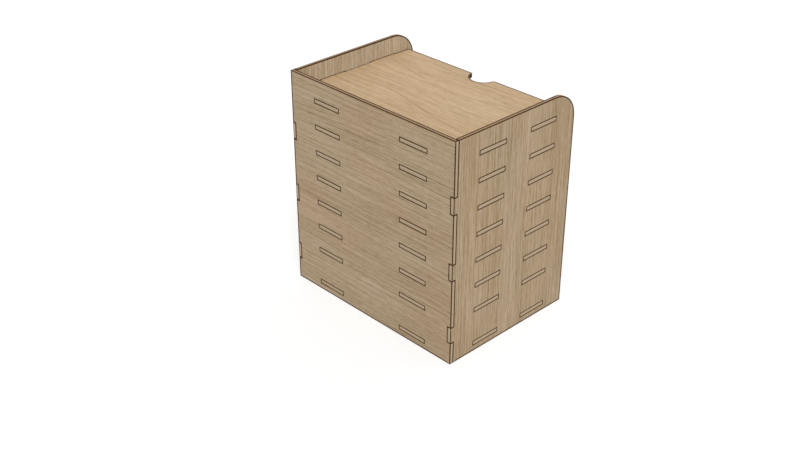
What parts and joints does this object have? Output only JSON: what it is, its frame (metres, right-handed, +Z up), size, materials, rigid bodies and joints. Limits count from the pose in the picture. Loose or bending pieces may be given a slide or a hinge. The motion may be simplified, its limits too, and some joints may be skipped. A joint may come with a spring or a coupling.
{
  "type": "wooden storage box",
  "caption": "Open-fronted plywood shelf box with tab-and-slot joints, a shallow tray on top and a half-round finger notch in the front edge of each shelf.",
  "frame": {"origin": "middle of the footprint, on the surface that the box stands on", "axes": "+Z up; +Y towards the back panel, so the open front faces -Y; +X to the right of someone facing the open front"},
  "size_m": [0.16, 0.118, 0.17],
  "materials": {
    "shelf_plywood": "bare sanded light veneer, grain across the box, browned cut lines, matte",
    "back_plywood": "bare sanded light veneer, grain across the box, browned cut lines, matte",
    "side_plywood": "bare sanded light veneer, upright grain, browned cut lines, matte"
  },
  "bodies": {
    "root": {"back_panel": "back_plywood", "left_side_panel": "side_plywood", "right_side_panel": "side_plywood", "bottom_shelf": "shelf_plywood", "middle_shelf_1": "shelf_plywood", "middle_shelf_2": "shelf_plywood", "middle_shelf_3": "shelf_plywood", "middle_shelf_4": "shelf_plywood", "middle_shelf_5": "shelf_plywood", "middle_shelf_6": "shelf_plywood", "top_shelf": "shelf_plywood"}
  },
  "joints": []
}
